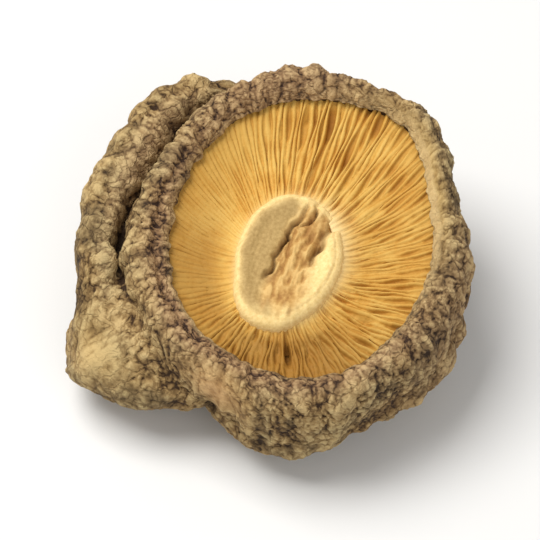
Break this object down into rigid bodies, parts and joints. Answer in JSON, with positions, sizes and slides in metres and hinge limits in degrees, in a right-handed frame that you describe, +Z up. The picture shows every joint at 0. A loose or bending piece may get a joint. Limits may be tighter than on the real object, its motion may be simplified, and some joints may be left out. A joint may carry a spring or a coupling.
{
  "type": "dried shiitake mushroom",
  "caption": "Whole dried shiitake mushroom lying gills up: wrinkled cap with a rolled-in rim, golden radial gills and a short cut stem stub.",
  "frame": {"origin": "on the surface that the cap's crown rests on, under the middle of the whole outline seen from above", "axes": "+Z up, out of the gills; -Y towards the side where the rolled rim lies lowest; +X to the right seen from -Y"},
  "size_m": [0.0549, 0.0526, 0.0274],
  "materials": {
    "skin": "matte",
    "gills": "matte",
    "stem": "matte"
  },
  "bodies": {
    "root": {"cap": "skin", "gills": "gills", "stem": "stem"}
  },
  "joints": []
}
